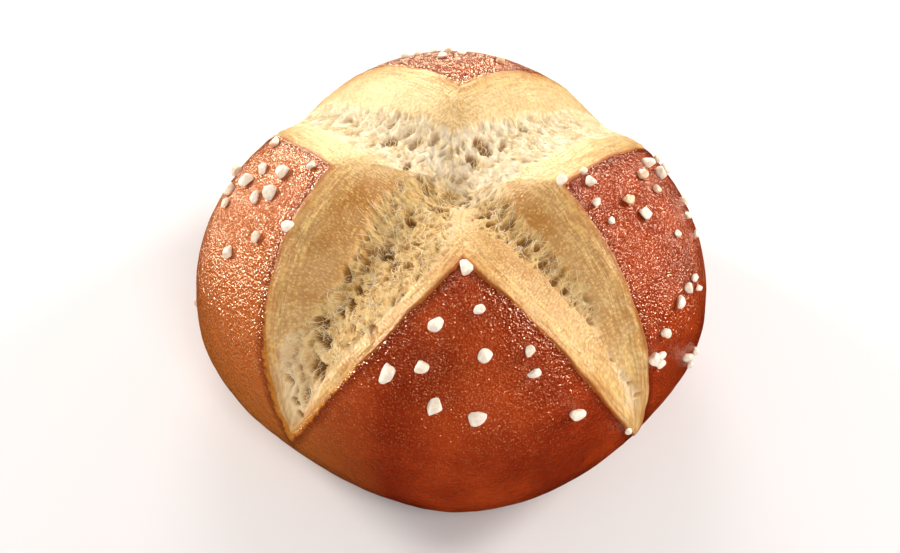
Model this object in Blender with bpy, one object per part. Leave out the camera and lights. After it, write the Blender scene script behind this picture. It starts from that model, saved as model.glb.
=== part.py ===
# Pretzel roll: one round loaf of lye dough, scored on top with a cross that opened in the oven.
# Metres, +Z up. The origin is the middle of the flat underside, and -Y is the front.
# The whole loaf is one closed solid: its four crusted petals and the crumb between them.

import math
from collections import namedtuple

import bmesh
import bpy
import numpy as np

# --- Driving sizes of the loaf ---
WIDTH = 0.100  # across the belly, from petal to petal
DOME_HEIGHT = 0.057  # height the loaf would have if it had not been scored
BELLY_HEIGHT = 0.016  # height of the widest ring above the underside
FOOT_RADIUS = 0.028  # flat spot on the underside, which the loaf rests on
SHOULDER_POWER = 2.22  # upper half of the outline: 2 is an ellipse, more is squarer
UNDERSIDE_POWER = 2.0  # lower half of the outline

# --- Unevenness of the plan, as shares of the radius ---
LOBE_DEPTH = 0.061  # the belly is pinched this much where the arms of the cross end
LOBE_TURN = math.radians(2.8)  # the lobes are turned this far from the X and Y axes
OVAL = -0.006  # stretch along one diagonal
LEAN_X = -0.003  # three-lobed lean of the hand-shaped ball
LEAN_Y = -0.009

# --- The cross ---
CROSSING = (0.0005, -0.0020)  # where the two cuts meet, seen from above
LIP_ROUNDING = 0.0020  # how softly a petal's surface turns down into a cut
VALLEY_ROUNDING = 0.0025  # how round the bottom of a cut is
RIDGE_ROUNDING = 0.0013  # how softly two cuts meet along the tip of a petal
PIT_DEPTH = 0.0015  # extra depth where the four arms meet
PIT_RADIUS = 0.0050
SHIFT_START = 0.0080  # how far out from the crossing a valley reaches its full shift
ARM_LENGTH = 0.0720  # arc length over which the valleys shift and the walls get flatter
NARROWEST_WALL = 0.0006  # least width of a wall, where an arm runs out
MOST_SHIFT = 0.45  # a valley stays this share of the half width from the middle, at most
CROSS_END = 0.0980  # arc length past which the cross has died out, short of the flat foot
CROSS_FADE = 0.0100  # stretch over which its last trace fades

# An edge of an arm, seen from the crossing outwards. Its distance from the arm's middle line
# is half_width at the crossing and falls to nothing at reach, measured along the surface.
Edge = namedtuple("Edge", "half_width reach taper")

# heading: degrees from +X; shift: how far the valley lies to the left of the middle line;
# slope: fall of the walls; fade: share of that fall which is lost by the end of the arm.
Arm = namedtuple("Arm", "heading left right shift slope fade")
ARMS = (
    Arm(230, Edge(0.0164, 0.070, 2.1), Edge(0.0198, 0.077, 2.5), -0.0026, 0.57, 0.10),
    Arm(317, Edge(0.0135, 0.092, 1.2), Edge(0.0156, 0.075, 2.4), -0.0012, 0.57, 0.10),
    Arm(43, Edge(0.0160, 0.080, 2.6), Edge(0.0169, 0.078, 2.4), 0.0026, 0.52, 0.60),
    Arm(135, Edge(0.0164, 0.075, 2.2), Edge(0.0170, 0.078, 2.4), 0.0006, 0.52, 0.65),
)

# --- Mesh ---
GRID = 28  # squares along each edge of the cube that the loaf is blown up from
CUBE_TURN = math.radians(45)  # the cube's grid lines run along the arms of the cross
BELLY_ANGLE = math.radians(108)  # how far down the blown-up cube the belly lies
OUTLINE_STEPS = 400  # samples along each half of the outline
SLOPE_STEP = 1e-5  # step for the surface's slopes, in metres and in radians

CRUST_COLOUR = (0.262, 0.058, 0.016, 1.0)  # deep chestnut brown, linear
CRUST_ROUGHNESS = 0.35


def outline():
    """Arc length, radius and height along the uncut loaf's outline, from the top to the axis below."""
    radius = WIDTH / 2
    upper = np.linspace(math.pi / 2, 0, OUTLINE_STEPS)
    lower = np.linspace(math.pi / 2, 0, OUTLINE_STEPS)[1:]
    across = np.concatenate([
        radius * np.cos(upper) ** (2 / SHOULDER_POWER),
        FOOT_RADIUS + (radius - FOOT_RADIUS) * np.sin(lower) ** (2 / UNDERSIDE_POWER),
        [0.0],
    ])
    height = np.concatenate([
        BELLY_HEIGHT + (DOME_HEIGHT - BELLY_HEIGHT) * np.sin(upper) ** (2 / SHOULDER_POWER),
        BELLY_HEIGHT * (1 - np.cos(lower) ** (2 / UNDERSIDE_POWER)),
        [0.0],
    ])
    across[0] = 0.0
    steps = np.hypot(np.diff(across), np.diff(height))
    return np.concatenate([[0.0], np.cumsum(steps)]), across, height


OUTLINE = outline()


def plan(azimuth):
    """Radius of the loaf in each direction, as a share of the outline's."""
    lobes = LOBE_DEPTH * (np.cos(4 * (azimuth - LOBE_TURN)) - 1) / 2
    lean = LEAN_X * np.cos(3 * azimuth) + LEAN_Y * np.sin(3 * azimuth)
    return 1 + lobes + OVAL * np.sin(2 * azimuth) + lean


def on_dome(arc, azimuth):
    """Points of the uncut loaf, by arc length from the top and by direction."""
    lengths, across, height = OUTLINE
    radius = np.interp(arc, lengths, across) * plan(azimuth)
    level = np.interp(arc, lengths, height)
    return np.stack([radius * np.cos(azimuth), radius * np.sin(azimuth), level], -1)


def outward(arc, azimuth):
    """Unit normals of the uncut loaf. On the axis they point straight up or down."""
    total = OUTLINE[0][-1]
    below, above = np.minimum(arc + SLOPE_STEP, total), np.maximum(arc - SLOPE_STEP, 0)
    down = on_dome(below, azimuth) - on_dome(above, azimuth)
    around = on_dome(arc, azimuth + SLOPE_STEP) - on_dome(arc, azimuth - SLOPE_STEP)
    normals = np.cross(down, around)
    normals[arc < SLOPE_STEP] = (0, 0, 1)
    normals[arc > total - SLOPE_STEP] = (0, 0, -1)
    return normals / np.linalg.norm(normals, axis=-1, keepdims=True)


def rounded_positive(value, rounding):
    """value where it is well above zero and nothing where it is well below, with a round turn."""
    return (value + np.sqrt(value**2 + rounding**2)) / 2


def rounded_least(a, b, rounding):
    return (a + b - np.sqrt((a - b) ** 2 + rounding**2)) / 2


def arm_depth(arm, arc, points):
    """How far one arm of the cross cuts in at each point: a V with its own two walls."""
    heading = math.radians(arm.heading)
    x, y = points[:, 0] - CROSSING[0], points[:, 1] - CROSSING[1]
    along = x * math.cos(heading) + y * math.sin(heading)
    aside = y * math.cos(heading) - x * math.sin(heading)
    left, right = (
        edge.half_width * (1 - (arc / edge.reach) ** edge.taper) for edge in (arm.left, arm.right)
    )
    half = np.maximum((left + right) / 2, NARROWEST_WALL)
    run = np.clip(arc / ARM_LENGTH, 0, 1)
    shift = arm.shift * np.clip(along / SHIFT_START, 0, 1) * (1 - run**2)
    shift = np.clip(shift, -MOST_SHIFT * half, MOST_SHIFT * half)
    deepest = arm.slope * half * (1 - arm.fade * run)
    left_wall = deepest * (left - aside) / np.maximum(left - shift, NARROWEST_WALL)
    right_wall = deepest * (right + aside) / np.maximum(right + shift, NARROWEST_WALL)
    valley = rounded_least(left_wall, right_wall, VALLEY_ROUNDING)
    valley = rounded_least(valley, deepest + arm.slope * along, VALLEY_ROUNDING)
    return rounded_positive(valley, LIP_ROUNDING * arm.slope)


def cross_depth(arc, points):
    """Depth of the whole cross. Where two arms meet, the deeper one wins, with a soft ridge."""
    arms = [np.exp(arm_depth(arm, arc, points) / RIDGE_ROUNDING) for arm in ARMS]
    depth = RIDGE_ROUNDING * np.log(sum(arms) - (len(ARMS) - 1))
    off = (points[:, 0] - CROSSING[0]) ** 2 + (points[:, 1] - CROSSING[1]) ** 2
    pit = PIT_DEPTH * np.exp(-off / PIT_RADIUS**2)
    return (depth + pit) * np.clip((CROSS_END - arc) / CROSS_FADE, 0, 1)


def loaf_points(directions):
    """Moves the points of a ball, given as unit vectors, to the surface of the scored loaf."""
    lengths, across, _ = OUTLINE
    belly = lengths[np.argmax(across)]
    angle = np.arccos(np.clip(directions[:, 2], -1, 1))
    arc = np.interp(angle, [0, BELLY_ANGLE, math.pi], [0, belly, lengths[-1]])
    azimuth = np.arctan2(directions[:, 1], directions[:, 0])
    points = on_dome(arc, azimuth)
    points -= outward(arc, azimuth) * cross_depth(arc, points)[:, None]
    middle = (points.max(axis=0) + points.min(axis=0)) / 2
    points[:, :2] -= middle[:2]
    return points


def ball_directions(corners):
    """Spreads a cube's grid evenly over a ball, turned to line up with the cross."""
    directions = np.tan(corners * math.pi / 4)
    directions /= np.linalg.norm(directions, axis=1, keepdims=True)
    cos, sin = math.cos(CUBE_TURN), math.sin(CUBE_TURN)
    x, y, z = directions.T
    return np.stack([x * cos - y * sin, x * sin + y * cos, z], -1)


def make_loaf():
    shape = bmesh.new()
    bmesh.ops.create_cube(shape, size=2)
    bmesh.ops.subdivide_edges(shape, edges=shape.edges, cuts=GRID - 1, use_grid_fill=True)
    corners = np.array([vertex.co for vertex in shape.verts], float)
    for vertex, point in zip(shape.verts, loaf_points(ball_directions(corners))):
        vertex.co = point
    bmesh.ops.recalc_face_normals(shape, faces=shape.faces)
    mesh = bpy.data.meshes.new("roll")
    shape.to_mesh(mesh)
    shape.free()
    mesh.shade_smooth()
    return mesh


def crust_material():
    material = bpy.data.materials.new("baked lye crust")
    material.use_nodes = True
    shader = material.node_tree.nodes["Principled BSDF"]
    shader.inputs["Base Color"].default_value = CRUST_COLOUR
    shader.inputs["Roughness"].default_value = CRUST_ROUGHNESS
    shader.inputs["Metallic"].default_value = 0.0
    return material


def main():
    for old in list(bpy.data.objects):
        bpy.data.objects.remove(old)
    mesh = make_loaf()
    mesh.materials.append(crust_material())
    bpy.context.scene.collection.objects.link(bpy.data.objects.new("roll", mesh))


main()
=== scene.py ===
import math

import bmesh
import bpy
import numpy as np
from mathutils import Matrix, Vector
from mathutils.bvhtree import BVHTree


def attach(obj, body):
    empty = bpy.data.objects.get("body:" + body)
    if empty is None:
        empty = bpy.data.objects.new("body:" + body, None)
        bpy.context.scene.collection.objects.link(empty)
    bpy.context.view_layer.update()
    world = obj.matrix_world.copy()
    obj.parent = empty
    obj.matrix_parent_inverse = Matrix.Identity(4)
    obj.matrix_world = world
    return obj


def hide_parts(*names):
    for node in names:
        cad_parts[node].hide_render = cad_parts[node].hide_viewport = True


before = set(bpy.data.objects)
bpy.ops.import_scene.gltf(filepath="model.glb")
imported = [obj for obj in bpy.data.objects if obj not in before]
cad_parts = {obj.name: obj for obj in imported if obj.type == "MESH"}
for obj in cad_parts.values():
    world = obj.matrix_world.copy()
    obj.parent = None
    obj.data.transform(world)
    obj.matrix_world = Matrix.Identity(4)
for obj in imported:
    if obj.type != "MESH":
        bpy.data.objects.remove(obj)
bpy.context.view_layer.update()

mm = 0.001

# A pretzel roll: dough dipped in lye, salted, cut crosswise and baked.
# The crust is one closed skin, the crumb rises out of the cross in it, fine strands of dough
# lie across the torn crumb, and the salt grains are sunk a little way into the crust.

# shape of the loaf
loaf = dict(
    width=0.100,
    domeHeight=0.057,
    bellyHeight=0.016,
    footRadius=0.028,
    shoulderPower=2.22,
    undersidePower=2.0,
    lobeDepth=0.061,
    lobeTurn=math.radians(2.8),
    oval=-0.006,
    leanX=-0.003,
    leanY=-0.009,
    bellyAngle=math.radians(108),
    middle=(-0.000144, 0.000405),  # the outline's middle, which goes to the origin
    outlineSteps=400,
    slopeStep=1e-5,
)
cross = dict(
    centre=(0.0005, -0.0020),
    lipRounding=0.0020,
    valleyRounding=0.0025,
    ridgeRounding=0.0013,
    pitDepth=0.0015,
    pitRadius=0.0050,
    shiftStart=0.0080,
    armLength=0.0720,
    narrowestWall=0.0006,
    mostShift=0.45,
    end=0.0980,
    fade=0.0100,
    edgeSwing=0.38 * mm,  # how far the crust's edge strays from its smooth line
    edgeTooth=0.07 * mm,
    tips=[(0.0012, -0.0190, 0.005, 1.5 * mm)],  # the front petal's crust is drawn out at its tip
)
# Each arm of the cross, seen from the crossing outwards: half width, reach and taper of its left
# and right edges, how pale the skin of each wall is near the crossing and at the arm's end (paler
# partly where it browned less and partly as painted light on the rear arms, which face the lights
# behind the roll), then the run of the torn crumb between the edges as (arc, left side, right side) in mm.
arms = [
    dict(heading=230, left=(0.0164, 0.070, 2.1), right=(0.0198, 0.077, 2.5),
         shift=-0.0026, slope=0.57, fade=0.10, paleLeft=(0.22, 0.38), paleRight=(0.05, 0.55),
         torn=[(0, 9, -9), (18, 10, -8.5), (25, 10.9, -6.6), (32, 9.6, -5.0), (39, 7.8, -4.8),
               (47, 5.8, -6.8), (55, 3.6, -7.8), (61, 2.2, -7.6), (68, 1.5, -5.5), (74, 1.0, -3.0)]),
    dict(heading=317, left=(0.0135, 0.092, 1.2), right=(0.0156, 0.075, 2.4),
         shift=-0.0012, slope=0.57, fade=0.10, paleLeft=(0.05, 0.66), paleRight=(0.22, 0.56),
         torn=[(0, 8, -8), (9, 5.0, -7.5), (14, 3.3, -6.6), (21, 2.1, -5.0), (30, 2.0, -3.6),
               (38, 2.2, -2.9), (45, 0.8, -2.2), (50, -1.3, -1.6), (58, 0.4, -1.4), (66, 2.8, -1.0),
               (74, 2.0, -0.6)]),
    dict(heading=43, left=(0.0160, 0.080, 2.6), right=(0.0169, 0.078, 2.4),
         shift=0.0026, slope=0.52, fade=0.60, paleLeft=(0.90, 0.60), paleRight=(0.85, 0.85),
         torn=[(0, 11, -8), (8, 10.0, -7.2), (12, 8.2, -7.4), (19, 5.4, -8.6), (32, 3.8, -9.0),
               (46, 3.4, -7.0), (60, 1.8, -3.5), (74, 0.8, -1.2)]),
    dict(heading=135, left=(0.0164, 0.075, 2.2), right=(0.0170, 0.078, 2.4),
         shift=0.0006, slope=0.52, fade=0.65, paleLeft=(0.80, 0.95), paleRight=(0.90, 0.90),
         torn=[(0, 8, -9), (6, 6.6, -9.0), (14, 7.0, -7.4), (22, 8.0, -4.8), (32, 7.2, -2.8),
               (49, 4.8, -3.4), (62, 2.2, -2.2), (74, 0.8, -0.8)]),
]

tableSize = 4096
noiseTable = np.random.default_rng(11).uniform(-1, 1, tableSize)


def cellValue(cell, salt=0):
    mixed = salt * 7919
    for axis, factor in zip(range(cell.shape[1]), (374761393, 668265263, 1274126177)):
        mixed = mixed + cell[:, axis] * factor
    mixed = (mixed ^ (mixed >> 13)) * 1103515245
    return noiseTable[(mixed ^ (mixed >> 15)) & (tableSize - 1)]


def softNoise(places, size, salt=0):  # smooth noise from -1 to 1, one bump about every size
    scaled = places / size
    cell = np.floor(scaled).astype(np.int64)
    part = scaled - cell
    part = part * part * (3 - 2 * part)
    axes = cell.shape[1]
    total = np.zeros(len(cell))
    for corner in np.ndindex(*(2,) * axes):
        weight = np.prod(np.where(corner, part, 1 - part), axis=1)
        total += weight * cellValue(cell + corner, salt)
    return total


def bubbles(flat, size, salt=0):  # distance to the nearest bubble's middle, and that bubble's number
    scaled = flat / size
    cell = np.floor(scaled).astype(np.int64)
    nearest, number = np.full(len(cell), 9.0), np.zeros(len(cell))
    for corner in np.ndindex(3, 3):
        at = cell + corner - 1
        seed = at + 0.5 + 0.42 * np.stack([cellValue(at, salt), cellValue(at, salt + 1)], -1)
        distance = np.linalg.norm(scaled - seed, axis=1)
        number = np.where(distance < nearest, cellValue(at, salt + 2), number)
        nearest = np.minimum(nearest, distance)
    return nearest, number


def smoothStep(value, low, high):
    part = np.clip((value - low) / (high - low), 0, 1)
    return part * part * (3 - 2 * part)


def outline():  # arc length, radius and height from the top of the uncut loaf to the axis below
    radius, belly, foot = loaf["width"] / 2, loaf["bellyHeight"], loaf["footRadius"]
    upper = np.linspace(math.pi / 2, 0, loaf["outlineSteps"])
    lower = upper[1:]
    above, below = 2 / loaf["shoulderPower"], 2 / loaf["undersidePower"]
    across = np.concatenate([
        radius * np.cos(upper) ** above,
        foot + (radius - foot) * np.sin(lower) ** below,
        [0.0],
    ])
    height = np.concatenate([
        belly + (loaf["domeHeight"] - belly) * np.sin(upper) ** above,
        belly * (1 - np.cos(lower) ** below),
        [0.0],
    ])
    across[0] = 0.0
    steps = np.hypot(np.diff(across), np.diff(height))
    return np.concatenate([[0.0], np.cumsum(steps)]), across, height


outlineArc, outlineAcross, outlineHeight = outline()
wholeArc = outlineArc[-1]
bellyArc = outlineArc[np.argmax(outlineAcross)]


def onDome(arc, azimuth):
    lobes = loaf["lobeDepth"] * (np.cos(4 * (azimuth - loaf["lobeTurn"])) - 1) / 2
    lean = loaf["leanX"] * np.cos(3 * azimuth) + loaf["leanY"] * np.sin(3 * azimuth)
    plan = 1 + lobes + loaf["oval"] * np.sin(2 * azimuth) + lean
    radius = np.interp(arc, outlineArc, outlineAcross) * plan
    level = np.interp(arc, outlineArc, outlineHeight)
    return np.stack([radius * np.cos(azimuth), radius * np.sin(azimuth), level], -1)


def outward(arc, azimuth):
    step = loaf["slopeStep"]
    lower, upper = np.minimum(arc + step, wholeArc), np.maximum(arc - step, 0)
    down = onDome(lower, azimuth) - onDome(upper, azimuth)
    around = onDome(arc, azimuth + step) - onDome(arc, azimuth - step)
    normals = np.cross(down, around)
    normals[arc < step] = (0, 0, 1)
    normals[arc > wholeArc - step] = (0, 0, -1)
    return normals / np.linalg.norm(normals, axis=-1, keepdims=True)


def roundedPositive(value, rounding):
    return (value + np.sqrt(value**2 + rounding**2)) / 2


def roundedLeast(a, b, rounding):
    return (a + b - np.sqrt((a - b) ** 2 + rounding**2)) / 2


def armShape(arm, arc, places):  # depth, distance along, distance aside and distance inside the edge
    heading = math.radians(arm["heading"])
    x, y = places[:, 0] - cross["centre"][0], places[:, 1] - cross["centre"][1]
    along = x * math.cos(heading) + y * math.sin(heading)
    aside = y * math.cos(heading) - x * math.sin(heading)
    left, right = (
        width * (1 - (arc / reach) ** taper) for width, reach, taper in (arm["left"], arm["right"])
    )
    half = np.maximum((left + right) / 2, cross["narrowestWall"])
    run = np.clip(arc / cross["armLength"], 0, 1)
    shift = arm["shift"] * np.clip(along / cross["shiftStart"], 0, 1) * (1 - run**2)
    shift = np.clip(shift, -cross["mostShift"] * half, cross["mostShift"] * half)
    deepest = arm["slope"] * half * (1 - arm["fade"] * run)
    leftWall = deepest * (left - aside) / np.maximum(left - shift, cross["narrowestWall"])
    rightWall = deepest * (right + aside) / np.maximum(right + shift, cross["narrowestWall"])
    valley = roundedLeast(leftWall, rightWall, cross["valleyRounding"])
    valley = roundedLeast(valley, deepest + arm["slope"] * along, cross["valleyRounding"])
    depth = roundedPositive(valley, cross["lipRounding"] * arm["slope"])
    edge = np.minimum(np.minimum(left - aside, right + aside), along + 2 * mm)
    return depth, along, aside, edge


def crossShape(arc, places):
    shapes = [armShape(arm, arc, places) for arm in arms]
    depths = np.stack([shape[0] for shape in shapes])
    sharp = cross["ridgeRounding"]
    depth = sharp * np.log(np.exp(depths / sharp).sum(axis=0) - (len(arms) - 1))
    off = (places[:, 0] - cross["centre"][0]) ** 2 + (places[:, 1] - cross["centre"][1]) ** 2
    pit = cross["pitDepth"] * np.exp(-off / cross["pitRadius"] ** 2)
    depth = (depth + pit) * np.clip((cross["end"] - arc) / cross["fade"], 0, 1)
    edge = np.max([shape[3] for shape in shapes], axis=0)
    edge = edge + cross["edgeSwing"] * softNoise(places, 4.5 * mm, 1)
    edge = edge + cross["edgeTooth"] * softNoise(places, 0.8 * mm, 2)
    for x, y, radius, amount in cross["tips"]:
        off = (places[:, 0] - x) ** 2 + (places[:, 1] - y) ** 2
        edge = edge - amount * np.exp(-off / radius**2)
    ahead = np.where(np.stack([shape[1] for shape in shapes]) > -1 * mm, depths, depths - 10 * mm)
    order = np.sort(depths, axis=0)
    deepest = np.argmax(ahead, axis=0)
    pick = (deepest, np.arange(len(arc)))
    return dict(
        depth=depth,
        edge=edge,
        arm=deepest,
        along=np.stack([shape[1] for shape in shapes])[pick],
        aside=np.stack([shape[2] for shape in shapes])[pick],
        ridge=order[-1] - order[-2],  # nothing along the ridge between two arms
    )


def put(arc, azimuth, depth):  # places at that depth below the uncut loaf, in the part's frame
    places = onDome(arc, azimuth) - outward(arc, azimuth) * depth[:, None]
    places[:, 0] -= loaf["middle"][0]
    places[:, 1] -= loaf["middle"][1]
    return places


def readPoints(mesh):
    flat = np.zeros(len(mesh.vertices) * 3, np.float32)
    mesh.vertices.foreach_get("co", flat)
    return flat.reshape(-1, 3).astype(float)


def writePoints(mesh, places):
    mesh.vertices.foreach_set("co", places.astype(np.float32).ravel())
    mesh.update()


def addAttribute(mesh, name, values):
    layer = mesh.attributes.new(name, "FLOAT", "POINT")
    layer.data.foreach_set("value", np.asarray(values, np.float32))


def finishPiece(mesh, name, material):
    mesh.shade_smooth()
    mesh.materials.append(material)
    piece = bpy.data.objects.new(name, mesh)
    bpy.context.scene.collection.objects.link(piece)
    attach(piece, "root")
    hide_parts("roll")
    triangles = sum(len(face.vertices) - 2 for face in mesh.polygons)
    print(name, len(mesh.vertices), "vertices", triangles, "triangles")


# materials
def colour(code):  # sRGB hex to linear
    parts = [int(code[at:at + 2], 16) / 255 for at in (0, 2, 4)]
    return tuple(p / 12.92 if p <= 0.04045 else ((p + 0.055) / 1.055) ** 2.4 for p in parts) + (1.0,)


def newMaterial(name):
    material = bpy.data.materials.new(name)
    material.use_nodes = True
    tree = material.node_tree
    return material, tree, tree.nodes["Principled BSDF"]


def setInputs(tree, node, settings):  # each setting is a link, an input's value or a property
    for name, value in settings.items():
        if isinstance(value, bpy.types.NodeSocket):
            tree.links.new(value, node.inputs[name])
        elif isinstance(name, int) or name in node.inputs:
            node.inputs[name].default_value = value
        else:
            setattr(node, name, value)


def addNode(tree, kind, settings, output=0):  # returns the output socket of that name or number
    made = tree.nodes.new("ShaderNode" + kind)
    setInputs(tree, made, settings)
    return made.outputs[output]


# the numbered inputs: a Mix node's share is 0, its two numbers 2 and 3 and its two colours 6 and 7
mixColours = dict(data_type="RGBA")
multiply, add = dict(operation="MULTIPLY"), dict(operation="ADD")


def crustMaterial():
    # Baked lye crust: starch browned by the lye to a thin glossy skin. It gives a deep chestnut
    # colour, amber where it browned less, and an orange-peel skin that breaks up each highlight.
    look = dict(
        dark=colour("8c2806"), brown=colour("ac3c0d"), amber=colour("bd6c26"), ginger=colour("bc6028"),
        rim=colour("6a1a05"), gold=colour("c8802e"), under=colour("b06c33"), paintedGlintColour=colour("d27240"),
        paintedGlare=colour("ecc894"), peel=0.45 * mm, wrinkle=1.1 * mm, patch=14 * mm,
    )
    material, tree, shader = newMaterial("baked lye crust")
    place = addNode(tree, "TexCoord", {}, "Object")
    across = addNode(tree, "SeparateXYZ", {0: place}, "X")
    height = addNode(tree, "SeparateXYZ", {0: place}, "Z")
    edge = addNode(tree, "Attribute", dict(attribute_name="edgeMm"), "Fac")
    patches = addNode(tree, "TexNoise", {"Vector": place, "Scale": 1 / look["patch"], "Detail": 3.0})
    wrinkle = addNode(tree, "TexNoise", {"Vector": place, "Scale": 1 / look["wrinkle"], "Distortion": 0.4})
    pebbles = addNode(tree, "TexVoronoi", {"Vector": place, "Scale": 1 / look["peel"]}, "Distance")
    chance = addNode(tree, "SeparateColor", {0: pebbles.node.outputs["Color"]})
    share = addNode(tree, "MapRange", {"Value": patches, "From Min": 0.40, "From Max": 0.64})
    base = addNode(tree, "Mix", {**mixColours, 0: share, 6: look["dark"], 7: look["brown"]}, 2)
    left = addNode(tree, "MapRange", {"Value": across, "From Min": -0.012, "From Max": -0.036})
    base = addNode(tree, "Mix", {**mixColours, 0: left, 6: base, 7: look["ginger"]}, 2)
    low = addNode(tree, "MapRange", {"Value": height, "From Min": 0.030, "From Max": 0.012})
    low = addNode(tree, "Math", {**multiply, 0: low, 1: left})
    base = addNode(tree, "Mix", {**mixColours, 0: low, 6: base, 7: look["amber"]}, 2)
    # painted highlights: the top of each pebble of the skin gets a painted glint, some more than others,
    # stronger on the upper part of the loaf and whiter on the left petal
    upper = addNode(tree, "MapRange", {
        "Value": height, "From Min": 0.014, "From Max": 0.030, "To Min": 0.06, "To Max": 0.62,
    })
    paintedGlints = addNode(tree, "MapRange", {"Value": pebbles, "From Min": 0.50, "From Max": 0.12})
    chance = addNode(tree, "MapRange", {"Value": chance, "From Min": 0.05, "From Max": 0.95})
    paintedGlints = addNode(tree, "Math", {**multiply, 0: paintedGlints, 1: chance})
    paintedGlints = addNode(tree, "Math", {**multiply, 0: paintedGlints, 1: upper})
    paintedGlintColour = addNode(tree, "Mix", {**mixColours, 0: left, 6: look["paintedGlintColour"], 7: look["paintedGlare"]}, 2)
    base = addNode(tree, "Mix", {**mixColours, 0: paintedGlints, 6: base, 7: paintedGlintColour}, 2)
    # painted shade: the crust darkens over the last 2.4 mm before its cut edge, into the groove where it
    # meets the crumb
    share = addNode(tree, "MapRange", {"Value": edge, "From Min": -2.4, "From Max": -0.5, "To Max": 0.65})
    base = addNode(tree, "Mix", {**mixColours, 0: share, 6: base, 7: look["rim"]}, 2)
    share = addNode(tree, "MapRange", {
        "Value": wrinkle, "From Min": 0.4, "From Max": 0.6, "To Min": -0.25, "To Max": 0.25,
    })
    ragged = addNode(tree, "Math", {**add, 0: edge, 1: share})
    share = addNode(tree, "MapRange", {"Value": ragged, "From Min": -0.35, "From Max": 0.35})
    base = addNode(tree, "Mix", {**mixColours, 0: share, 6: base, 7: look["gold"]}, 2)
    share = addNode(tree, "MapRange", {"Value": height, "From Min": 0.0022, "From Max": 0.0004})
    base = addNode(tree, "Mix", {**mixColours, 0: share, 6: base, 7: look["under"]}, 2)
    relief = addNode(tree, "Math", {"operation": "MULTIPLY_ADD", 0: pebbles, 1: -0.55, 2: wrinkle})
    bump = addNode(tree, "Bump", {"Strength": 1.0, "Distance": 0.42 * mm, "Height": relief})
    setInputs(tree, shader, {
        "Base Color": base, "Roughness": 0.26, "Specular IOR Level": 0.5, "Specular Tint": colour("ffcaa4"),
        "Coat Weight": 0.8, "Coat Roughness": 0.17, "Normal": bump, "Coat Normal": bump,
    })
    return material


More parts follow.
